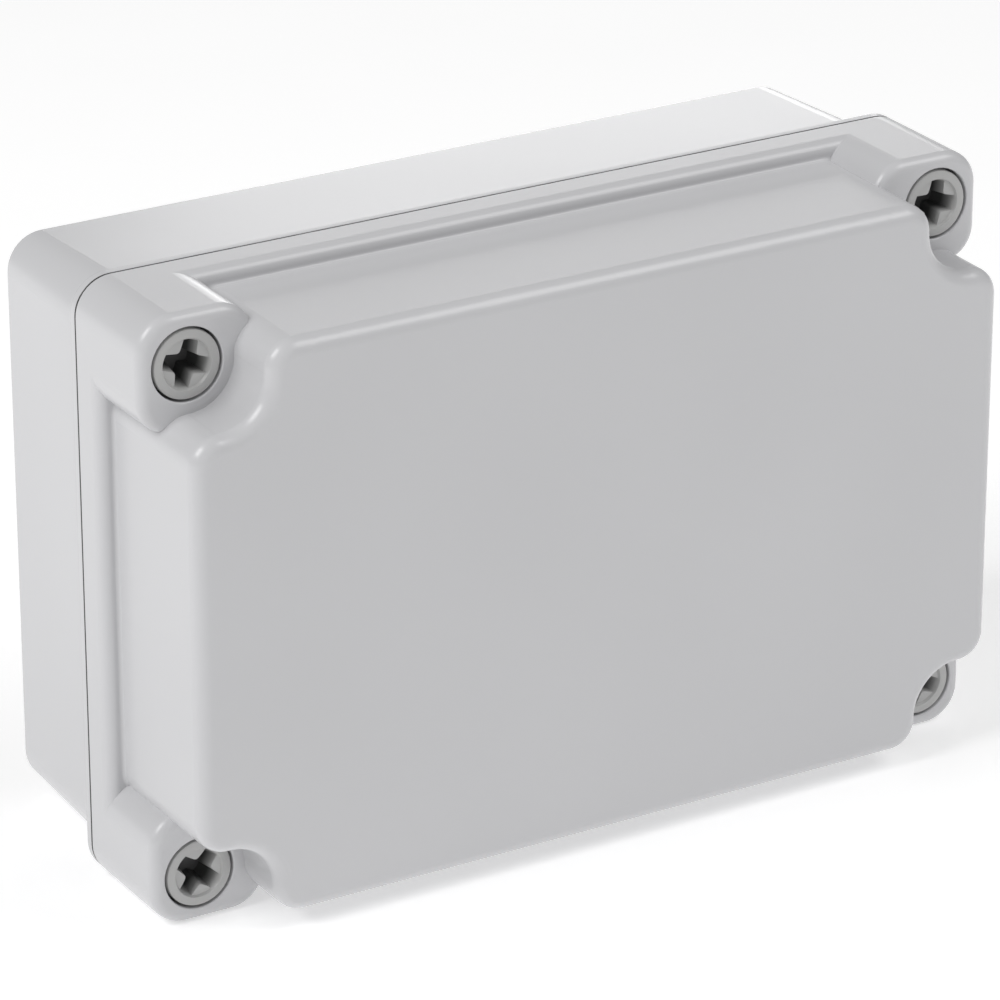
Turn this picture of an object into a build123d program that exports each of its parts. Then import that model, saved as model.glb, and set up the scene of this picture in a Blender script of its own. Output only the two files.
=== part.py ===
"""Waterproof junction box with a deep screwed lid, built as separate moulded pieces.

Millimetres. The box stands on its long bottom side as it does in the photograph:
X runs across the lid, the lid faces -Y, the back faces +Y and Z points up.
"""
import math
import os

from build123d import *

# Outside of the box
width = 120.0              # across the lid, along X
height = 80.0              # from the bottom side to the top side, along Z
depth = 50.0               # from the back of the base to the front of the lid, along Y
base_depth = 24.5          # the base's share of the depth
outline_radius = 4.8       # corner radius of the rim and of the lid's flange
seam_edge_radius = 0.25    # rounding of both outer edges where lid and base meet

# Base
rim_thickness = 1.6        # lip round the base's mouth, level with the lid's sides
wall_step_front = 1.6      # how far the base's wall lies inside the rim, beside the rim
wall_step_back = 2.6       # the same at the back: the difference is the mould draft
floor_thickness = 2.2
back_edge_radius = 1.0
rim_edge_radius = 0.5

# Lid
flange_height = 5.2        # plain band round the lid, from the parting plane
flange_edge_radius = 1.5
root_radius = 0.5          # where the raised centre rises from the flange
plateau_step = 2.2         # how far the raised centre lies inside the flange
plateau_draft = 0.5        # degrees
plateau_edge_radius = 2.0
plateau_corner_radius = 4.0
lid_wall = 2.5             # thickness of the raised centre's sides and front
post_height = 16.5         # front of the corner posts, from the parting plane
post_length_x = 15.7       # corner post, from the lid's side towards the middle
post_length_z = 15.0
post_end_radius = 4.5
post_edge_radius = 1.4

# Lid screws
screw_inset = 6.45         # screw axis to the lid's outer sides
scallop_radius = 6.1       # hollow in the raised centre round each screw
head_diameter = 9.0
head_height = 4.6
head_gap = 0.25            # round the head, in its counterbore
mouth_edge_radius = 0.2    # rounding of the counterbore's mouth
shank_diameter = 4.0
thread_length = 9.0        # length of shank inside the base's tower
thread_end_gap = 1.0       # from the shank's end to the bottom of the tower's bore
thread_gap = 0.06          # radial gap between the shank and the tower's bore
lid_bore_gap = 0.4         # radial gap between the shank and the lid's bore
recess_diameter = 6.4      # shallow dish in the head
recess_depth = 0.35
slot_width = 2.3           # one arm of the cross recess, at the dish's floor
slot_depth = 3.4
slot_taper = 12.0          # degrees that the recess narrows by on each side
head_chamfer = 0.25
shank_chamfer = 0.5
screw_travel = 7.5         # how far a screw backs out before its thread is free

# Retaining ring on each screw
ring_bore_gap = 0.05
ring_diameter = 6.8
ring_thickness = 1.2
ring_pocket_gap = 0.35
ring_rest = 0.5            # from the parting plane to the ring

# Seal
groove_width = 2.0
groove_depth = 2.4
groove_shift = -0.3        # middle of the groove, outwards from the raised centre's side
tongue_width = 1.2
tongue_height = 1.0
gasket_side_gap = 0.05

# Fixing holes in the back, and their plugs
fixing_inset = 18.0        # fixing hole's axis to the box's outer sides
fixing_hole_diameter = 4.5
fixing_boss_diameter = 12.0
fixing_boss_height = 3.4
plug_seat_diameter = 8.6
plug_seat_depth = 2.4
plug_gap = 0.05
plug_end_gap = 0.2
plug_flange_diameter = 10.4
plug_flange_height = 0.8

# Bosses for a mounting plate or circuit board
plate_inset_x = 30.0       # boss's axis to the box's outer sides
plate_inset_z = 14.0
plate_boss_diameter = 6.0
plate_boss_height = 4.0
plate_hole_diameter = 2.4
plate_hole_depth = 5.0

# Hollows in the back of the screw towers
core_diameter = 7.0
core_depth = 9.0
core_shift = 2.2           # from the screw's axis towards the middle, along X and along Z

# Derived places
parting_y = depth / 2 - base_depth
lid_depth = depth - base_depth
screw_x = width / 2 - screw_inset
screw_z = height / 2 - screw_inset
half_x = width / 2 - plateau_step
half_z = height / 2 - plateau_step
head_seat = post_height - head_height

# Seen from the front: local x is X, local y is Z, local z points out of the lid.
parting = Plane(origin=(0, parting_y, height / 2), x_dir=(1, 0, 0), z_dir=(0, -1, 0))
base_back = parting.offset(-base_depth)
base_floor = parting.offset(-(base_depth - floor_thickness))

ring_pocket_diameter = ring_diameter + 2 * ring_pocket_gap
ring_pocket_depth = ring_rest + ring_thickness + screw_travel + 0.3
boss_level = fixing_boss_height + floor_thickness - base_depth
screw_places = [(-screw_x, screw_z), (screw_x, screw_z), (-screw_x, -screw_z), (screw_x, -screw_z)]
fixing_x = width / 2 - fixing_inset
fixing_z = height / 2 - fixing_inset
fixing_places = [(-fixing_x, fixing_z), (fixing_x, fixing_z), (-fixing_x, -fixing_z), (fixing_x, -fixing_z)]
core_x = screw_x - core_shift
core_z = screw_z - core_shift
core_places = [(-core_x, core_z), (core_x, core_z), (-core_x, -core_z), (core_x, -core_z)]
corner_names = ["top_left", "top_right", "bottom_left", "bottom_right"]
screw_turns = [-14.0, -9.0, -38.0, -22.0]   # degrees that each cross recess stands turned


def near(value, target):
    """Tell whether two sizes are the same within a hundredth of a millimetre."""
    return abs(value - target) < 0.01


def corner_places(x, z):
    """List the four places that lie the same way in each corner."""
    return [(sx * x, sz * z) for sz in (1, -1) for sx in (-1, 1)]


def notched_outline(plane, outwards):
    """Draw the raised centre's outline on a plane, moved outwards by a distance."""
    side_x = half_x + outwards
    side_z = half_z + outwards
    notch_radius = scallop_radius - outwards
    notch_x = screw_x - notch_radius
    notch_z = screw_z - notch_radius
    round_radius = max(plateau_corner_radius + outwards, 0.4)
    with BuildSketch(plane) as outline:
        Rectangle(2 * side_x, 2 * side_z)
        with Locations(*corner_places((side_x + notch_x) / 2, (side_z + notch_z) / 2)):
            Rectangle(side_x - notch_x, side_z - notch_z, mode=Mode.SUBTRACT)
        corners = outline.vertices()
        fillet([v for v in corners if near(abs(v.X), notch_x) and near(abs(v.Y), notch_z)], notch_radius)
        corners = outline.vertices()
        proud = [v for v in corners if near(abs(v.X), side_x) and near(abs(v.Y), notch_z)]
        proud += [v for v in corners if near(abs(v.X), notch_x) and near(abs(v.Y), side_z)]
        fillet(proud, round_radius)
    return outline.sketch


def band_outline(plane, breadth):
    """Draw the seal's path as a band of one breadth."""
    outer = notched_outline(plane, groove_shift + breadth / 2)
    inner = notched_outline(plane, groove_shift - breadth / 2)
    return outer - inner


def box_outline(plane, side_x, side_z):
    """Draw a rectangle with rounded corners on a plane, from its half sizes."""
    with BuildSketch(plane) as outline:
        RectangleRounded(2 * side_x, 2 * side_z, outline_radius)
    return outline.sketch


def discs(plane, places, diameter):
    """Draw a disc at each place on a plane."""
    with BuildSketch(plane) as drawing:
        with Locations(*places):
            Circle(diameter / 2)
    return drawing.sketch


def edges_at(part, level):
    """Choose the edges that lie flat at one distance in front of the parting plane."""
    y = parting_y - level
    boxes = [(edge, edge.bounding_box()) for edge in part.edges()]
    return [edge for edge, box in boxes if near(box.min.Y, y) and near(box.max.Y, y)]


def root_edges(part):
    """Choose the edges where the raised centre rises from the flange."""
    level = edges_at(part, flange_height)
    boxes = [(edge, edge.bounding_box()) for edge in level]
    return [edge for edge, box in boxes if max(-box.min.X, box.max.X) < half_x + 0.1
            and max(height / 2 - box.min.Z, box.max.Z - height / 2) < half_z + 0.1]


def mouth_edges(part):
    """Choose the round edges of the lid's counterbores, where the screw heads lie."""
    circles = [edge for edge in edges_at(part, post_height) if edge.geom_type == GeomType.CIRCLE]
    return [edge for edge in circles if near(edge.radius, head_diameter / 2 + head_gap)]


# The base: drafted shell and rim, hollowed, with tongue, screw towers and bosses
draft = math.degrees(math.atan((wall_step_back - wall_step_front) / base_depth))
shell_back = box_outline(base_back, width / 2 - wall_step_back, height / 2 - wall_step_back)
full_outline = box_outline(parting, width / 2, height / 2)
cavity_outline = notched_outline(parting, -lid_wall)
boss_tops = base_floor.offset(fixing_boss_height)
plate_tops = base_floor.offset(plate_boss_height)
plate_places = corner_places(width / 2 - plate_inset_x, height / 2 - plate_inset_z)

with BuildPart() as shell:
    extrude(shell_back, amount=base_depth, taper=-draft)
    fillet(edges_at(shell, -base_depth), back_edge_radius)

with BuildPart() as rim:
    extrude(full_outline, amount=-rim_thickness)
    fillet(edges_at(rim, -rim_thickness), rim_edge_radius)
    fillet(edges_at(rim, 0), seam_edge_radius)

with BuildPart() as base:
    add(shell.part)
    add(rim.part)
    extrude(cavity_outline, amount=-(base_depth - floor_thickness), mode=Mode.SUBTRACT)
    extrude(band_outline(parting, tongue_width), amount=tongue_height)
    extrude(discs(base_floor, fixing_places, fixing_boss_diameter), amount=fixing_boss_height)
    extrude(discs(base_floor, plate_places, plate_boss_diameter), amount=plate_boss_height)
    extrude(discs(base_back, core_places, core_diameter), amount=core_depth, mode=Mode.SUBTRACT)
    with Locations(parting):
        with Locations(*screw_places):
            Hole(shank_diameter / 2 + thread_gap, depth=thread_length + thread_end_gap)
    with Locations(boss_tops):
        with Locations(*fixing_places):
            CounterBoreHole(fixing_hole_diameter / 2, plug_seat_diameter / 2, plug_seat_depth)
    with Locations(plate_tops):
        with Locations(*plate_places):
            Hole(plate_hole_diameter / 2, depth=plate_hole_depth)
base.part.label = "base"

# The lid: plain flange, four corner posts and the raised centre with a hollow round each screw
post_places = corner_places((width - post_length_x) / 2, (height - post_length_z) / 2)
post_end_x = width / 2 - post_length_x
post_end_z = height / 2 - post_length_z
with BuildSketch(parting.offset(flange_height / 2)) as post_outline:
    with Locations(*post_places):
        Rectangle(post_length_x, post_length_z)
    corners = post_outline.vertices()
    ends = [v for v in corners if near(abs(v.X), width / 2) and near(abs(v.Y), post_end_z)]
    ends += [v for v in corners if near(abs(v.X), post_end_x) and near(abs(v.Y), height / 2)]
    fillet(ends, post_end_radius)
    corners = post_outline.vertices()
    fillet([v for v in corners if near(abs(v.X), width / 2) and near(abs(v.Y), height / 2)], outline_radius)

with BuildPart() as posts:
    extrude(post_outline.sketch, amount=post_height - flange_height / 2)
    fillet(edges_at(posts, post_height), post_edge_radius)

with BuildPart() as flange:
    extrude(full_outline, amount=flange_height)
    fillet(edges_at(flange, flange_height), flange_edge_radius)
    fillet(edges_at(flange, 0), seam_edge_radius)

with BuildPart() as plateau:
    extrude(notched_outline(parting, 0.0), amount=lid_depth, taper=plateau_draft)
    fillet(edges_at(plateau, lid_depth), plateau_edge_radius)

with BuildPart() as lid:
    add(flange.part)
    add(plateau.part)
    fillet(root_edges(lid), root_radius)
    add(posts.part)
    extrude(cavity_outline, amount=lid_depth - lid_wall, mode=Mode.SUBTRACT)
    extrude(band_outline(parting, groove_width), amount=groove_depth, mode=Mode.SUBTRACT)
    extrude(discs(parting, screw_places, ring_pocket_diameter), amount=ring_pocket_depth, mode=Mode.SUBTRACT)
    with Locations(parting.offset(post_height)):
        with Locations(*screw_places):
            CounterBoreHole(shank_diameter / 2 + lid_bore_gap, head_diameter / 2 + head_gap, head_height)
    fillet(mouth_edges(lid), mouth_edge_radius)
lid.part.label = "lid"

# The gasket: a flat band that lies at the bottom of the lid's groove, on the base's tongue
with BuildPart() as gasket:
    gasket_outline = band_outline(parting.offset(tongue_height), groove_width - 2 * gasket_side_gap)
    extrude(gasket_outline, amount=groove_depth - tongue_height)
gasket.part.label = "gasket"


def build_screw(place, turn):
    """Build one lid screw at its place, with its cross recess turned by an angle."""
    head_front = parting.offset(post_height)
    with BuildSketch(parting.offset(post_height - recess_depth)) as cross:
        with Locations(place):
            Rectangle(recess_diameter, slot_width, rotation=turn)
            Rectangle(slot_width, recess_diameter, rotation=turn)
            Circle(recess_diameter / 2, mode=Mode.INTERSECT)
    with BuildPart() as screw:
        extrude(discs(parting.offset(-thread_length), [place], shank_diameter), amount=thread_length + head_seat)
        extrude(discs(parting.offset(head_seat), [place], head_diameter), amount=head_height)
        chamfer(edges_at(screw, post_height), head_chamfer)
        chamfer(edges_at(screw, -thread_length), shank_chamfer)
        extrude(discs(head_front, [place], recess_diameter), amount=-recess_depth, mode=Mode.SUBTRACT)
        extrude(cross.sketch, amount=-slot_depth, taper=slot_taper, mode=Mode.SUBTRACT)
    return screw


def build_ring(place):
    """Build the soft ring that grips one screw's shank and keeps it in the lid."""
    rest = parting.offset(ring_rest)
    with BuildPart() as ring:
        extrude(discs(rest, [place], ring_diameter), amount=ring_thickness)
        extrude(discs(rest, [place], shank_diameter + 2 * ring_bore_gap), amount=ring_thickness, mode=Mode.SUBTRACT)
    return ring


def build_plug(place):
    """Build the press-in plug that covers one fixing hole from inside the box."""
    with BuildPart() as plug:
        stem = discs(boss_tops.offset(plug_end_gap - plug_seat_depth), [place], plug_seat_diameter - 2 * plug_gap)
        extrude(stem, amount=plug_seat_depth - plug_end_gap)
        extrude(discs(boss_tops, [place], plug_flange_diameter), amount=plug_flange_height)
        fillet(edges_at(plug, boss_level + plug_flange_height), plug_flange_height / 2)
    return plug


os.makedirs("parts", exist_ok=True)
export_step(base.part, "parts/base.step")
export_step(lid.part, "parts/lid.step")
export_step(gasket.part, "parts/gasket.step")

for name, place, turn in zip(corner_names, screw_places, screw_turns):
    screw = build_screw(place, turn)
    screw.part.label = "screw_" + name
    export_step(screw.part, "parts/screw_" + name + ".step")
    ring = build_ring(place)
    ring.part.label = "ring_" + name
    export_step(ring.part, "parts/ring_" + name + ".step")

for name, place in zip(corner_names, fixing_places):
    plug = build_plug(place)
    plug.part.label = "plug_" + name
    export_step(plug.part, "parts/plug_" + name + ".step")
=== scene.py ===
"""Looks of the waterproof junction box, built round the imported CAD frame.

The base and the lid keep their CAD shapes and get a moulded finish. The lid screws, their
soft rings, the gasket and the plugs of the fixing holes are modelled afresh. Metres, in the
frame of the CAD model: X runs across the lid, the lid faces -Y, and Z points up.
"""

import logging
import math
from dataclasses import dataclass
from enum import Enum
from typing import Optional

import bmesh
import bpy
from mathutils import Matrix, Vector


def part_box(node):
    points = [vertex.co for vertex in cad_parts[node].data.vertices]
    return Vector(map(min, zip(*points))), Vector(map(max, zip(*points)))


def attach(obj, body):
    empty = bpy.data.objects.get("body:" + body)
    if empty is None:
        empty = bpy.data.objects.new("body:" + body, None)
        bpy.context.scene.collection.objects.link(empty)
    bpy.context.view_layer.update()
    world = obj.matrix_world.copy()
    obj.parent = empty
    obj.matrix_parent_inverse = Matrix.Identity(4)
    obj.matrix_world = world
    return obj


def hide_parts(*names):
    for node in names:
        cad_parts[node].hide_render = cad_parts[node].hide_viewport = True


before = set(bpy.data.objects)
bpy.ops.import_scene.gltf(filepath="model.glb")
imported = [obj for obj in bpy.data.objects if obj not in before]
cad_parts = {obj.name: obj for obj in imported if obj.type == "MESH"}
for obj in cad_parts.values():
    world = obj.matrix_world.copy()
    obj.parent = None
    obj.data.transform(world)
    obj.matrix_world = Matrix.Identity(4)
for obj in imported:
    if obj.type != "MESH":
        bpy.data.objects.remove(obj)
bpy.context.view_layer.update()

LOG = logging.getLogger("junction_box")
MM = 0.001
# The seam lies at the lid's back.
SEAM_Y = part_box("lid")[1][1]
BLOTCH_MM = 25.0
WHITE = "FFFFFF"
# Vertices closer than this are one corner.
MERGE_DISTANCE = 0.001 * MM
# Ribs between the arms of a cross recess.
RIB_COUNT = 4


# Colours and shader nodes


def linear(hex_colour: str) -> tuple[float, float, float, float]:
    """Turn an sRGB hex colour into linear red, green, blue and alpha.

    Args:
        hex_colour: six hexadecimal digits, such as "C8C8CA".

    Returns:
        The four linear values.
    """
    parts = [int(hex_colour[i : i + 2], 16) / 255 for i in (0, 2, 4)]
    values = [p / 12.92 if p <= 0.04045 else ((p + 0.055) / 1.055) ** 2.4 for p in parts]
    return (*values, 1.0)


def add_node(
    tree: bpy.types.NodeTree,
    kind: str,
    settings: Optional[dict] = None,
    values: Optional[dict] = None,
    links: Optional[dict] = None,
) -> bpy.types.Node:
    """Add a shader node with its settings, values and links.

    Args:
        tree: the node tree that gets the node.
        kind: the node's type name.
        settings: the node's own properties.
        values: what each unlinked input socket holds.
        links: input socket to the output socket that feeds it.

    Returns:
        The new node.
    """
    node = tree.nodes.new(kind)
    for key, value in (settings or {}).items():
        setattr(node, key, value)
    for key, value in (values or {}).items():
        node.inputs[key].default_value = value
    for key, socket in (links or {}).items():
        tree.links.new(socket, node.inputs[key])
    return node


class Grain(Enum):
    """The relief on a moulding's surface: size across and height, in millimetres."""

    POLISHED = (0.30, 0.0003)
    SPARKED = (0.22, 0.0035)
    FOAM = (0.35, 0.030)
    RUBBER = (0.30, 0.006)


@dataclass(frozen=True)
class Moulded:
    """A moulded finish: its colour, its gloss and its grain.

    A slow, faint waviness bends the reflections, as uneven shrinkage does on a real moulding.
    """

    name: str
    colour: str
    shade: str
    roughness: float
    ior: float
    grain: Grain
    wave_mm: float = 16.0
    wave_height_mm: float = 0.03
    glow: float = 0.0

    def material(self) -> bpy.types.Material:
        """Build the finish as a procedural material.

        Returns:
            The Blender material.
        """
        made = bpy.data.materials.new(self.name)
        made.use_nodes = True
        tree = made.node_tree
        tree.nodes.clear()
        where = add_node(tree, "ShaderNodeTexCoord").outputs["Object"]
        blotch = add_node(
            tree,
            "ShaderNodeTexNoise",
            values={"Scale": 1 / (BLOTCH_MM * MM), "Detail": 0.0},
            links={"Vector": where},
        )
        colour = add_node(
            tree,
            "ShaderNodeMix",
            settings={"data_type": "RGBA"},
            values={"A": linear(self.colour), "B": linear(self.shade)},
            links={"Factor": blotch.outputs["Fac"]},
        )
        surface = add_node(
            tree,
            "ShaderNodeBsdfPrincipled",
            values={
                "Roughness": self.roughness,
                "IOR": self.ior,
                "Emission Color": linear(WHITE),
                "Emission Strength": self.glow,
            },
            links={
                "Base Color": self.marks(tree, where, colour.outputs["Result"]),
                "Normal": self.relief(tree, where),
            },
        )
        add_node(tree, "ShaderNodeOutputMaterial", links={"Surface": surface.outputs["BSDF"]})
        return made

    def marks(
        self, tree: bpy.types.NodeTree, where: bpy.types.NodeSocket, colour: bpy.types.NodeSocket
    ) -> bpy.types.NodeSocket:
        """Add what lies on the plain colour. A plain finish has nothing.

        Args:
            tree: the material's tree.
            where: the socket with the object coordinates.
            colour: the socket with the plain colour.

        Returns:
            The socket with the colour.
        """
        return colour

    def relief(self, tree: bpy.types.NodeTree, where: bpy.types.NodeSocket) -> bpy.types.NodeSocket:
        """Add the slow waviness and the grain's relief.

        Args:
            tree: the material's tree.
            where: the socket with the object coordinates.

        Returns:
            The socket with the shading normal.
        """
        across, height = self.grain.value
        slow = add_node(
            tree,
            "ShaderNodeTexNoise",
            values={"Scale": 1 / (self.wave_mm * MM), "Detail": 1.0},
            links={"Vector": where},
        )
        fine = add_node(
            tree,
            "ShaderNodeTexNoise",
            values={"Scale": 1 / (across * MM), "Detail": 3.0, "Roughness": 0.6},
            links={"Vector": where},
        )
        waves = add_node(
            tree,
            "ShaderNodeBump",
            values={"Distance": self.wave_height_mm * MM},
            links={"Height": slow.outputs["Fac"]},
        )
        grain = add_node(
            tree,
            "ShaderNodeBump",
            values={"Distance": height * MM},
            links={"Height": fine.outputs["Fac"], "Normal": waves.outputs["Normal"]},
        )
        return grain.outputs["Normal"]


@dataclass(frozen=True)
class SeamShadePaintedMoulded(Moulded):
    """A moulded finish with painted shade: a dark line along the seam between the two mouldings."""

    seam_mm: float = 0.34
    # Colour of the painted shade in the seam.
    painted_seam_shade_colour: str = "4C4C4C"
    flat_facing: float = 0.995

    def marks(
        self, tree: bpy.types.NodeTree, where: bpy.types.NodeSocket, colour: bpy.types.NodeSocket
    ) -> bpy.types.NodeSocket:
        """Paint shade, a dark line, along the bottom of the seam between the two mouldings.

        The flat faces that meet at the seam stay unpainted, because they point straight along Y.

        Args:
            tree: the material's tree.
            where: the socket with the object coordinates.
            colour: the socket with the plain colour.

        Returns:
            The socket with the colour.
        """
        place = add_node(tree, "ShaderNodeSeparateXYZ", links={"Vector": where}).outputs["Y"]
        near = add_node(
            tree,
            "ShaderNodeMath",
            settings={"operation": "COMPARE"},
            values={1: SEAM_Y, 2: self.seam_mm / 2 * MM},
            links={0: place},
        )
        facing = add_node(tree, "ShaderNodeNewGeometry").outputs["True Normal"]
        along = add_node(tree, "ShaderNodeSeparateXYZ", links={"Vector": facing}).outputs["Y"]
        steepness = add_node(tree, "ShaderNodeMath", settings={"operation": "ABSOLUTE"}, links={0: along})
        aslant = add_node(
            tree,
            "ShaderNodeMath",
            settings={"operation": "LESS_THAN"},
            values={1: self.flat_facing},
            links={0: steepness.outputs["Value"]},
        )
        mask = add_node(
            tree,
            "ShaderNodeMath",
            settings={"operation": "MULTIPLY"},
            links={0: near.outputs["Value"], 1: aslant.outputs["Value"]},
        )
        # Painted shade: the dark seam colour goes in where the mask holds.
        line = add_node(
            tree,
            "ShaderNodeMix",
            settings={"data_type": "RGBA"},
            values={"B": linear(self.painted_seam_shade_colour)},
            links={"Factor": mask.outputs["Value"], "A": colour},
        )
        return line.outputs["Result"]


@dataclass(frozen=True)
class DepthShadePaintedMoulded(Moulded):
    """A moulded finish with painted shade that darkens it towards the back of the box, in a recess."""

    # Colour of the painted shade at the recess's bottom.
    painted_depth_shade_colour: str = "4C4C4C"
    brink_y: float = -15.4 * MM
    deep_y: float = -13.5 * MM

    def marks(
        self, tree: bpy.types.NodeTree, where: bpy.types.NodeSocket, colour: bpy.types.NodeSocket
    ) -> bpy.types.NodeSocket:
        """Blend the plain colour into the painted shade's dark one from the recess's brink down.

        Args:
            tree: the material's tree.
            where: the socket with the object coordinates.
            colour: the socket with the plain colour.

        Returns:
            The socket with the colour.
        """
        place = add_node(tree, "ShaderNodeSeparateXYZ", links={"Vector": where}).outputs["Y"]
        depth = add_node(
            tree,
            "ShaderNodeMapRange",
            values={"From Min": self.brink_y, "From Max": self.deep_y},
            links={"Value": place},
        )
        # Painted shade: the dark colour grows with depth.
        blend = add_node(
            tree,
            "ShaderNodeMix",
            settings={"data_type": "RGBA"},
            values={"B": linear(self.painted_depth_shade_colour)},
            links={"Factor": depth.outputs["Result"], "A": colour},
        )
        return blend.outputs["Result"]


# Light grey ABS from a polished mould: an even colour with soft, clear highlights along the edges.
# Its seam carries a painted shade line.
HOUSING_ABS = SeamShadePaintedMoulded("light_grey_abs", "CFCFD1", "CBCBCD", 0.27, 1.53, Grain.POLISHED)
# Polyamide, darker than the housing, with a duller face.
SCREW_POLYAMIDE = Moulded("grey_polyamide", "BABAB9", "B2B2B1", 0.36, 1.53, Grain.SPARKED, 5.0, 0.02)
# The same polyamide in the cross recess, duller, with painted shade darker towards the bottom.
RECESS_POLYAMIDE_PAINTED_SHADE = DepthShadePaintedMoulded(
    "grey_polyamide_recess_painted_shade", "BABAB9", "B2B2B1", 0.45, 1.53, Grain.SPARKED, 5.0, 0.02
)
# Polychloroprene foam band: matt black with an open, fine-celled surface.
SEAL_FOAM = Moulded("black_seal_foam", "28292B", "202123", 0.80, 1.50, Grain.FOAM, 6.0, 0.05)
# Nitrile rubber ring: black with a low sheen.
RING_RUBBER = Moulded("black_ring_rubber", "1A1B1D", "151617", 0.50, 1.50, Grain.RUBBER, 4.0, 0.02)
# Polyethylene plug: softer and waxier than the housing, a shade darker.
PLUG_POLYETHYLENE = Moulded("grey_polyethylene", "BDBEC0", "B5B6B8", 0.45, 1.51, Grain.SPARKED, 6.0, 0.03)
# Opal acrylic table under the box, lit from below: white and matt, with hardly any shadow on it.
TABLE = Moulded("opal_acrylic", "F4F4F4", "F2F2F2", 0.90, 1.49, Grain.POLISHED, 60.0, 0.0, 0.33)


# Mesh helpers


def ring_of_edges(geometry: list) -> list:
    """Pick the edges out of an operator's result.

    Args:
        geometry: the vertices, edges and faces that the operator gives back.

    Returns:
        The edges among them.
    """
    return [item for item in geometry if isinstance(item, bmesh.types.BMEdge)]


def grow_rim(bm: bmesh.types.BMesh, edges: list, radius: float, level: float) -> list:
    """Extrude a round rim of edges to a new radius and level about the Z axis.

    Args:
        bm: the mesh.
        edges: the closed loop of edges, centred on the Z axis.
        radius: the new loop's radius.
        level: the new loop's height.

    Returns:
        The new loop of edges.
    """
    made = bmesh.ops.extrude_edge_only(bm, edges=edges)["geom"]
    rim = [item for item in made if isinstance(item, bmesh.types.BMVert)]
    now = sum(v.co.xy.length for v in rim) / len(rim)
    bmesh.ops.scale(bm, verts=rim, vec=(radius / now, radius / now, 1.0))
    bmesh.ops.translate(bm, verts=rim, vec=(0.0, 0.0, level - rim[0].co.z))
    return ring_of_edges(made)


def set_in_place(bm: bmesh.types.BMesh, x: float, y: float, z: float) -> None:
    """Turn a mesh made along +Z so that it faces the front, -Y, and move it to its place.

    Args:
        bm: the mesh.
        x: where its origin goes, across the box.
        y: where its origin goes, from front to back.
        z: where its origin goes, in height.
    """
    turn = Matrix.Rotation(math.radians(90.0), 4, "X")
    bmesh.ops.transform(bm, matrix=Matrix.Translation((x, y, z)) @ turn, verts=bm.verts)


def finish_piece(
    name: str, bm: bmesh.types.BMesh, materials: list, body: str, sharp: float = 35.0
) -> bpy.types.Object:
    """Turn a bmesh into the object that stands for a CAD node.

    Args:
        name: the CAD node that the piece replaces. The piece is called name_look.
        bm: its mesh, in row coordinates. It is freed.
        materials: its finishes, in the order of its faces' material numbers.
        body: the CAD body that carries it.
        sharp: faces that meet at more than this many degrees keep a sharp edge.

    Returns:
        The new object.
    """
    bmesh.ops.recalc_face_normals(bm, faces=bm.faces)
    mesh = bpy.data.meshes.new(name + "_look")
    bm.to_mesh(mesh)
    bm.free()
    for material in materials:
        mesh.materials.append(material)
    mesh.shade_smooth()
    mesh.set_sharp_from_angle(angle=math.radians(sharp))
    piece = bpy.data.objects.new(name + "_look", mesh)
    bpy.context.scene.collection.objects.link(piece)
    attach(piece, body)
    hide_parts(name)
    LOG.info("%s: %d faces", piece.name, len(mesh.polygons))
    return piece


# The pieces


@dataclass
class Housing:
    """The two mouldings, base and lid, which keep their CAD shapes."""

    finish: Moulded = HOUSING_ABS

    def dress(self) -> None:
        """Give both mouldings their finish."""
        material = self.finish.material()
        for name in ("base", "lid"):
            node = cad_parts[name]
            node.data.materials.clear()
            node.data.materials.append(material)
            LOG.info("%s: %d faces, %s", name, len(node.data.polygons), self.finish.name)


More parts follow.
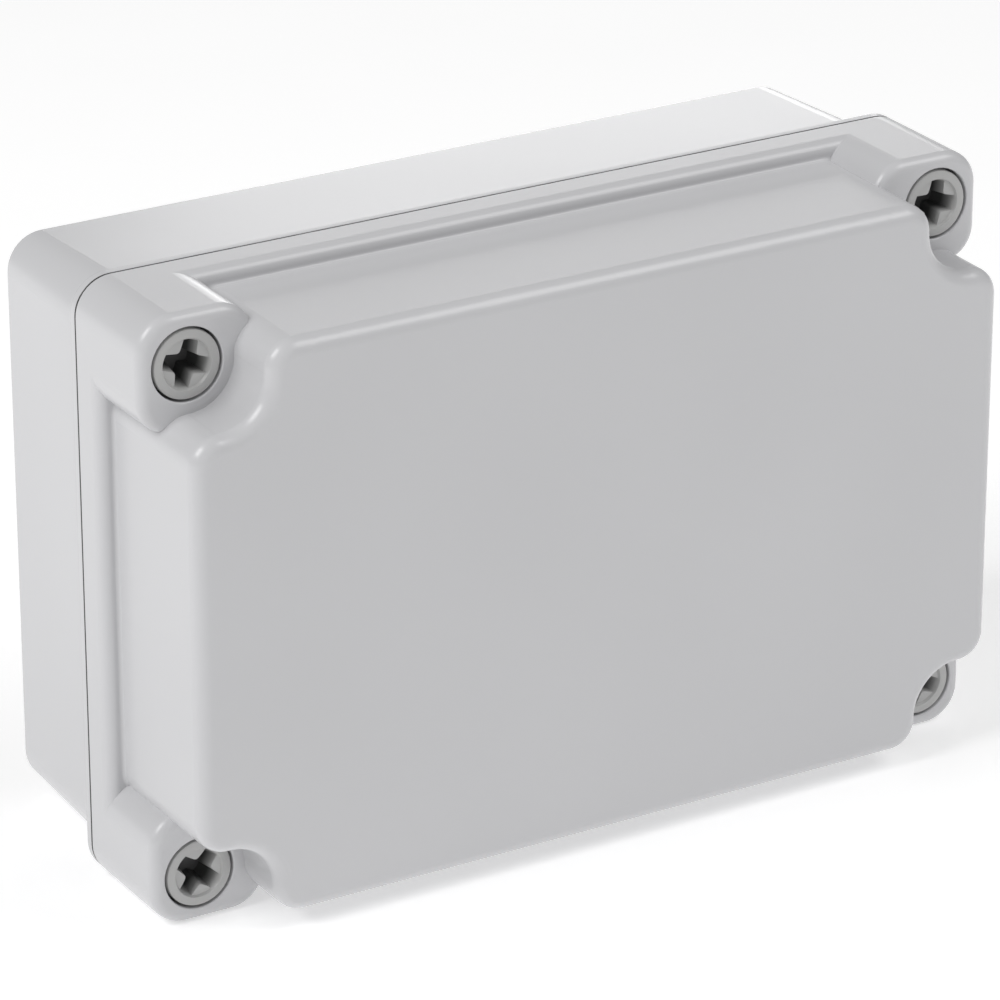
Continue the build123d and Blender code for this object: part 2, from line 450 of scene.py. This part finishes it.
@dataclass
class LidScrew:
    """A lid screw: a broad flat head with a shallow dish and a cross recess, and a coarse thread.

    The screw is made along +Z, with the parting plane at 0. The cross recess narrows a little
    in its upper part and more in its lower part.
    """

    corner: str
    turn: float
    parting_y: float = 0.5 * MM
    head_front: float = 16.45 * MM
    head_radius: float = 4.42 * MM
    head_height: float = 4.55 * MM
    head_chamfer: float = 0.25 * MM
    chamfer_break: float = 0.3
    head_segments: int = 96
    seat_edge: float = 0.15 * MM
    neck_fillet: float = 0.25 * MM
    dish_radius: float = 3.1 * MM
    dish_depth: float = 0.3 * MM
    dish_slope: float = 0.2 * MM
    outline_margin: float = 0.05 * MM
    arm_half_width: float = 0.98 * MM
    arm_flare: float = 1.2
    upper_depth: float = 0.7 * MM
    upper_narrowing: float = 0.95
    lower_depth: float = 3.1 * MM
    lower_narrowing: float = 0.72
    recess_edge: float = 0.08 * MM
    rib_rounding: float = 0.35 * MM
    shank_radius: float = 2.0 * MM
    core_radius: float = 1.5 * MM
    thread_start: float = -0.6 * MM
    thread_end: float = -8.2 * MM
    neck_above_thread: float = 0.9 * MM
    core_above_thread: float = 0.5 * MM
    tip: float = -9.0 * MM
    tip_height: float = 0.5 * MM
    tip_narrowing: float = 0.4 * MM
    pitch: float = 3.0 * MM
    ridge_root: float = 0.55 * MM
    ridge_crest: float = 0.16 * MM
    ridge_foot: float = 0.1 * MM
    steps_per_turn: int = 40

    def build(self, material: bpy.types.Material, recess: bpy.types.Material) -> bpy.types.Object:
        """Build the screw and set it in its corner.

        Args:
            material: the screw's finish.
            recess: the finish inside the cross recess, with painted shade towards its bottom.

        Returns:
            The screw's object.
        """
        name = "screw_" + self.corner
        low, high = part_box(name)
        bm = bmesh.new()
        self.add_head_and_shank(bm)
        self.add_thread(bm)
        bmesh.ops.rotate(bm, verts=bm.verts, matrix=Matrix.Rotation(math.radians(self.turn), 3, "Z"))
        set_in_place(bm, (low[0] + high[0]) / 2, self.parting_y, (low[2] + high[2]) / 2)
        return finish_piece(name, bm, [material, recess], name)

    def add_head_and_shank(self, bm: bmesh.types.BMesh) -> None:
        """Make the head from its dish outwards, then run down to the screw's tip.

        Args:
            bm: the mesh, with the screw's axis along +Z and the parting plane at 0.
        """
        floor = self.head_front - self.dish_depth
        seat = self.head_front - self.head_height
        face_radius = self.head_radius - self.head_chamfer
        first_break = self.head_chamfer * self.chamfer_break
        bmesh.ops.create_circle(
            bm,
            cap_ends=True,
            radius=self.dish_radius,
            segments=self.head_segments,
            matrix=Matrix.Translation((0, 0, floor)),
        )
        self.cut_recess(bm, floor)
        profile = (
            (self.dish_radius + self.dish_slope, self.head_front),
            (face_radius, self.head_front),
            (self.head_radius - first_break, self.head_front - first_break),
            (self.head_radius, self.head_front - self.head_chamfer),
            (self.head_radius, seat + self.seat_edge),
            (self.head_radius - self.seat_edge, seat),
            (self.shank_radius + self.neck_fillet, seat),
            (self.shank_radius, seat - self.neck_fillet),
            (self.shank_radius, self.thread_start + self.neck_above_thread),
            (self.core_radius, self.thread_start + self.core_above_thread),
            (self.core_radius, self.tip + self.tip_height),
            (self.core_radius - self.tip_narrowing, self.tip),
        )
        rim = [edge for edge in bm.edges if edge.is_boundary]
        for radius, level in profile:
            rim = grow_rim(bm, rim, radius, level)
        bmesh.ops.contextual_create(bm, geom=rim)
        # Faces deep in the recess take the second finish, with its painted shade.
        for face in bm.faces:
            centre = face.calc_center_median()
            sunk = seat < centre.z < floor - self.recess_edge and centre.xy.length < self.dish_radius
            face.material_index = 1 if sunk else 0

    def cut_recess(self, bm: bmesh.types.BMesh, floor: float) -> None:
        """Cut a cross out of the dish's floor and sink it in two steps, narrower towards the bottom.

        Args:
            bm: the mesh, which holds only the dish's floor.
            floor: the height of the dish's floor.
        """
        for normal in ((1, 0, 0), (0, 1, 0)):
            for side in (-1, 1):
                bmesh.ops.bisect_plane(
                    bm,
                    geom=bm.verts[:] + bm.edges[:] + bm.faces[:],
                    plane_co=Vector(normal) * side * self.arm_half_width,
                    plane_no=normal,
                )
        centres = [(face, face.calc_center_median().xy) for face in bm.faces]
        arms = [face for face, centre in centres if min(abs(c) for c in centre) < self.arm_half_width]
        bmesh.ops.dissolve_faces(bm, faces=arms)
        nearest = sorted(bm.verts, key=lambda v: v.co.xy.length)[:RIB_COUNT]
        bmesh.ops.scale(bm, verts=nearest, vec=(self.arm_flare, self.arm_flare, 1.0))
        bmesh.ops.bevel(
            bm,
            geom=nearest,
            offset=self.rib_rounding,
            affect="VERTICES",
            segments=5,
            profile=0.5,
            material=-1,
        )
        self.sink(bm, self.upper_narrowing, self.upper_depth)
        self.sink(bm, self.lower_narrowing, self.lower_depth)
        brink = [edge for edge in bm.edges if not edge.is_boundary and self.is_brink(edge, floor)]
        bmesh.ops.bevel(
            bm, geom=brink, offset=self.recess_edge, affect="EDGES", segments=2, profile=0.5, material=-1
        )

    def sink(self, bm: bmesh.types.BMesh, narrowing: float, depth: float) -> None:
        """Push the face in the middle down, with walls behind it.

        Args:
            bm: the mesh.
            narrowing: the lower outline's size over the upper one's.
            depth: how far the face goes down.
        """
        middle = min(bm.faces, key=lambda face: face.calc_center_median().xy.length)
        made = bmesh.ops.extrude_face_region(bm, geom=[middle])["geom"]
        bmesh.ops.delete(bm, geom=[middle], context="FACES_ONLY")
        lower = [item for item in made if isinstance(item, bmesh.types.BMVert)]
        bmesh.ops.scale(bm, verts=lower, vec=(narrowing, narrowing, 1.0))
        bmesh.ops.translate(bm, verts=lower, vec=(0, 0, -depth))

    def is_brink(self, edge: bmesh.types.BMEdge, floor: float) -> bool:
        """Tell whether an edge lies between a quadrant of the dish's floor and the recess.

        Args:
            edge: the edge.
            floor: the height of the dish's floor.

        Returns:
            True if both its ends are on the dish's floor and neither is on the dish's outline.
        """
        inside = all(v.co.xy.length < self.dish_radius - self.outline_margin for v in edge.verts)
        return inside and all(abs(v.co.z - floor) < MERGE_DISTANCE for v in edge.verts)

    def add_thread(self, bm: bmesh.types.BMesh) -> None:
        """Wind the thread's ridge round the core.

        Args:
            bm: the mesh, with the screw's axis along +Z.
        """
        inner, crest = self.core_radius - self.ridge_foot, self.shank_radius
        section = [
            (inner, -self.ridge_root),
            (crest, -self.ridge_crest),
            (crest, self.ridge_crest),
            (inner, self.ridge_root),
        ]
        start = self.thread_end + self.ridge_root
        corners = [bm.verts.new((r, 0.0, start + h)) for r, h in section]
        face = bm.faces.new(corners)
        turns = (self.thread_start - self.thread_end - 2 * self.ridge_root) / self.pitch
        steps = round(turns * self.steps_per_turn)
        bmesh.ops.spin(
            bm,
            geom=[face] + list(face.edges) + corners,
            cent=(0, 0, 0),
            axis=(0, 0, 1),
            dvec=(0, 0, turns * self.pitch / steps),
            angle=turns * math.tau,
            steps=steps,
            use_merge=False,
        )


@dataclass
class RetainingRing:
    """The soft ring on a screw's shank that keeps the screw in the lid."""

    corner: str
    bore_radius: float = 2.05 * MM
    outer_radius: float = 3.4 * MM
    thickness: float = 1.2 * MM
    edge: float = 0.3 * MM
    sharp: float = 50.0

    def build(self, material: bpy.types.Material) -> bpy.types.Object:
        """Build the ring round its screw.

        Args:
            material: the ring's finish.

        Returns:
            The ring's object.
        """
        name = "ring_" + self.corner
        low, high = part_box(name)
        bm = bmesh.new()
        half = self.thickness / 2
        corners = (
            (self.bore_radius, -half),
            (self.outer_radius, -half),
            (self.outer_radius, half),
            (self.bore_radius, half),
        )
        bm.faces.new([bm.verts.new((radius, 0, level)) for radius, level in corners])
        bmesh.ops.bevel(
            bm, geom=bm.verts[:], offset=self.edge, affect="VERTICES", segments=4, profile=0.5, material=-1
        )
        bmesh.ops.delete(bm, geom=bm.faces[:], context="FACES_ONLY")
        bmesh.ops.spin(
            bm,
            geom=bm.edges[:] + bm.verts[:],
            cent=(0, 0, 0),
            axis=(0, 0, 1),
            angle=math.tau,
            steps=64,
            use_merge=True,
        )
        bmesh.ops.remove_doubles(bm, verts=bm.verts, dist=MERGE_DISTANCE)
        set_in_place(bm, (low[0] + high[0]) / 2, (low[1] + high[1]) / 2, (low[2] + high[2]) / 2)
        return finish_piece(name, bm, [material], name, self.sharp)


@dataclass
class FixingPlug:
    """The press-in plug that covers a fixing hole: a rounded flange with a dimple, and a stem."""

    corner: str
    flange_radius: float = 5.2 * MM
    flange_height: float = 0.8 * MM
    stem_radius: float = 4.25 * MM
    stem_length: float = 2.2 * MM
    stem_edge: float = 0.3 * MM
    dimple_radius: float = 2.2 * MM
    dimple_depth: float = 0.35 * MM
    rounding_steps: int = 6

    def build(self, material: bpy.types.Material) -> bpy.types.Object:
        """Build the plug in its boss.

        Args:
            material: the plug's finish.

        Returns:
            The plug's object.
        """
        name = "plug_" + self.corner
        low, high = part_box(name)
        top = self.flange_height
        bm = bmesh.new()
        bmesh.ops.create_circle(
            bm,
            cap_ends=True,
            radius=self.dimple_radius - self.dimple_depth,
            segments=64,
            matrix=Matrix.Translation((0, 0, top - self.dimple_depth)),
        )
        rounding = self.flange_height / 2
        profile = [(self.dimple_radius, top)]
        for step in range(self.rounding_steps + 1):
            angle = math.pi / 2 * step / self.rounding_steps
            reach = self.flange_radius - rounding * (1 - math.sin(angle))
            profile.append((reach, top - rounding * (1 - math.cos(angle))))
        profile += [
            (self.flange_radius, 0.0),
            (self.stem_radius, 0.0),
            (self.stem_radius, self.stem_edge - self.stem_length),
            (self.stem_radius - self.stem_edge, -self.stem_length),
        ]
        rim = [edge for edge in bm.edges if edge.is_boundary]
        for radius, level in profile:
            rim = grow_rim(bm, rim, radius, level)
        bmesh.ops.contextual_create(bm, geom=rim)
        set_in_place(bm, (low[0] + high[0]) / 2, low[1] + self.flange_height, (low[2] + high[2]) / 2)
        return finish_piece(name, bm, [material], "base")


@dataclass
class Gasket:
    """The soft band in the lid's groove, with rounded edges."""

    edge: float = 0.35 * MM
    flat_angle: float = 0.5
    corner_angle: float = 60.0

    def build(self, material: bpy.types.Material) -> bpy.types.Object:
        """Build the band from a merged copy of its CAD node.

        Args:
            material: the band's finish.

        Returns:
            The band's object.
        """
        bm = bmesh.new()
        bm.from_mesh(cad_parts["gasket"].data)
        bmesh.ops.remove_doubles(bm, verts=bm.verts, dist=MERGE_DISTANCE)
        bmesh.ops.dissolve_limit(
            bm, angle_limit=math.radians(self.flat_angle), verts=bm.verts, edges=bm.edges
        )
        least = math.radians(self.corner_angle)
        corners = [edge for edge in bm.edges if edge.is_manifold and edge.calc_face_angle() > least]
        bmesh.ops.bevel(
            bm,
            geom=corners,
            offset=self.edge,
            affect="EDGES",
            segments=3,
            profile=0.5,
            material=-1,
            clamp_overlap=True,
        )
        return finish_piece("gasket", bm, [material], "lid")


@dataclass(frozen=True)
class Softbox:
    """A square area light that faces the box, with its direction from the box and its power in watts."""

    name: str
    towards: tuple[float, float, float]
    distance: float
    size: float
    power: float

    def build(self, target: Vector) -> None:
        """Hang the softbox.

        Args:
            target: the point that it faces.
        """
        lamp = bpy.data.lights.new(self.name, "AREA")
        lamp.shape = "SQUARE"
        lamp.size = self.size
        lamp.energy = self.power
        body = bpy.data.objects.new(self.name, lamp)
        place = target + Vector(self.towards).normalized() * self.distance
        body.location = place
        body.visible_camera = False
        body.rotation_euler = (target - place).to_track_quat("-Z", "Y").to_euler()
        bpy.context.scene.collection.objects.link(body)


LIGHTS = (
    Softbox("key_right", (0.48, -0.41, 0.77), 1.0, 0.5, 2.8),
    Softbox("left_up", (-0.72, -0.02, 0.69), 1.0, 0.5, 4.9),
    Softbox("back_low", (0.53, 0.85, 0.17), 1.2, 0.35, 1.2),
)


@dataclass
class Studio:
    """Floor, lights and camera, which aren't part of the object."""

    floor_half_size: float = 12.0
    sky: float = 0.3
    backdrop: float = 0.57
    target: tuple[float, float, float] = (0.0, 0.0, 0.04)
    camera_place: tuple[float, float, float] = (-0.3296, -0.5528, 0.3157)
    pitch: float = -23.30
    yaw: float = -30.71
    lens: float = 198.5
    sensor_width: float = 36.0

    def build(self) -> None:
        """Make the floor, the lights, the sky and the camera."""
        bm = bmesh.new()
        bmesh.ops.create_grid(bm, x_segments=1, y_segments=1, size=self.floor_half_size)
        mesh = bpy.data.meshes.new("floor")
        bm.to_mesh(mesh)
        bm.free()
        mesh.materials.append(TABLE.material())
        floor = bpy.data.objects.new("floor", mesh)
        bpy.context.scene.collection.objects.link(floor)
        self.hang_sky()
        for light in LIGHTS:
            light.build(Vector(self.target))
        self.aim_camera()
        bpy.context.scene.view_settings.view_transform = "Standard"

    def hang_sky(self) -> None:
        """Make a plain white sky, with one strength to light with and another to look at."""
        world = bpy.data.worlds.new("studio")
        world.use_nodes = True
        tree = world.node_tree
        tree.nodes.clear()
        white = linear(WHITE)
        light = add_node(tree, "ShaderNodeBackground", values={"Color": white, "Strength": self.sky})
        seen = add_node(tree, "ShaderNodeBackground", values={"Color": white, "Strength": self.backdrop})
        looked_at = add_node(tree, "ShaderNodeLightPath").outputs["Is Camera Ray"]
        both = add_node(
            tree,
            "ShaderNodeMixShader",
            links={0: looked_at, 1: light.outputs["Background"], 2: seen.outputs["Background"]},
        )
        add_node(tree, "ShaderNodeOutputWorld", links={"Surface": both.outputs["Shader"]})
        bpy.context.scene.world = world

    def aim_camera(self) -> None:
        """Place the camera as the photograph's was, looking down at the lid from the left."""
        lens = bpy.data.cameras.new("camera")
        lens.lens = self.lens
        lens.sensor_width = self.sensor_width
        lens.clip_start = 0.01
        camera = bpy.data.objects.new("camera", lens)
        camera.location = self.camera_place
        camera.rotation_euler = (math.radians(90 + self.pitch), 0.0, math.radians(self.yaw))
        bpy.context.scene.collection.objects.link(camera)
        bpy.context.scene.camera = camera


# How far each cross recess stands turned, in degrees seen from the front.
SCREW_TURNS = {"top_left": -14.0, "top_right": -9.0, "bottom_left": -38.0, "bottom_right": -22.0}


def main() -> None:
    """Dress the frame, light it, place the camera and note the sizes."""
    logging.basicConfig(level=logging.INFO, format="%(name)s: %(message)s")
    Housing().dress()
    # The recess's finish carries painted shade.
    screw, recess = SCREW_POLYAMIDE.material(), RECESS_POLYAMIDE_PAINTED_SHADE.material()
    ring, plug = RING_RUBBER.material(), PLUG_POLYETHYLENE.material()
    for corner, turn in SCREW_TURNS.items():
        LidScrew(corner, turn).build(screw, recess)
        RetainingRing(corner).build(ring)
        FixingPlug(corner).build(plug)
    Gasket().build(SEAL_FOAM.material())
    Studio().build()


if __name__ == "__main__":
    main()
